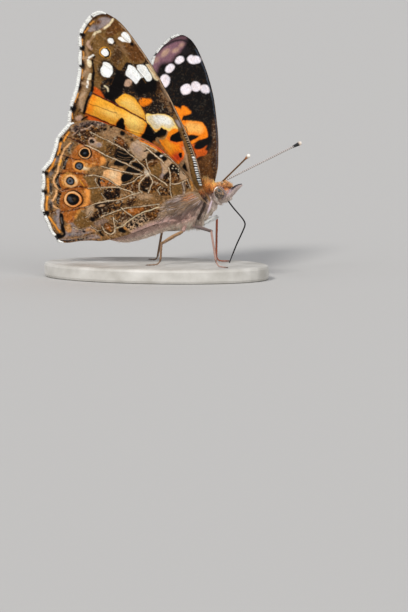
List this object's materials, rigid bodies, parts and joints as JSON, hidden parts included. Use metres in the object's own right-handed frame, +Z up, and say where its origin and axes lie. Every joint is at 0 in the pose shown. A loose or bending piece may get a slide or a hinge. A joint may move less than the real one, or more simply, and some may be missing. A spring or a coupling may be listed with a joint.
{
  "type": "painted lady butterfly model",
  "caption": "Life-size painted lady butterfly standing with half-closed patterned wings raised and its tongue reaching down, on a thin oval base.",
  "frame": {"origin": "middle of the underside of the oval base", "axes": "+Z up, +X the way the butterfly heads, +Y to its left"},
  "size_m": [0.0344, 0.0339, 0.0368],
  "materials": {
    "fore_wing": "orange and near-black scales with white spots, white fringe; satin",
    "hind_wing": "marbled brown scales with pale vein lines and eyespots, white fringe; matt",
    "body_hair": "short pinkish-beige hair, orange on the collar",
    "eye": "finely faceted brown-grey, glossy",
    "feeler": "grey shaft with pale rings, black club with a cream tip",
    "palp": "lavender-pink scales, dark upper edge at the tip",
    "tongue": "near-black, satin",
    "leg": "pale pinkish-grey scales",
    "stand": "plain pale matt plate"
  },
  "bodies": {
    "root": {"abdomen": "body_hair", "antenna_L": "feeler", "antenna_R": "feeler", "eye_L": "eye", "eye_R": "eye", "foreleg_L": "leg", "foreleg_R": "leg", "forewing_L": "fore_wing", "forewing_R": "fore_wing", "head": "body_hair", "hindleg_L": "leg", "hindleg_R": "leg", "hindwing_L": "hind_wing", "hindwing_R": "hind_wing", "midleg_L": "leg", "midleg_R": "leg", "palp_L": "palp", "palp_R": "palp", "proboscis": "tongue", "stand_base": "stand", "thorax": "body_hair"}
  },
  "joints": []
}
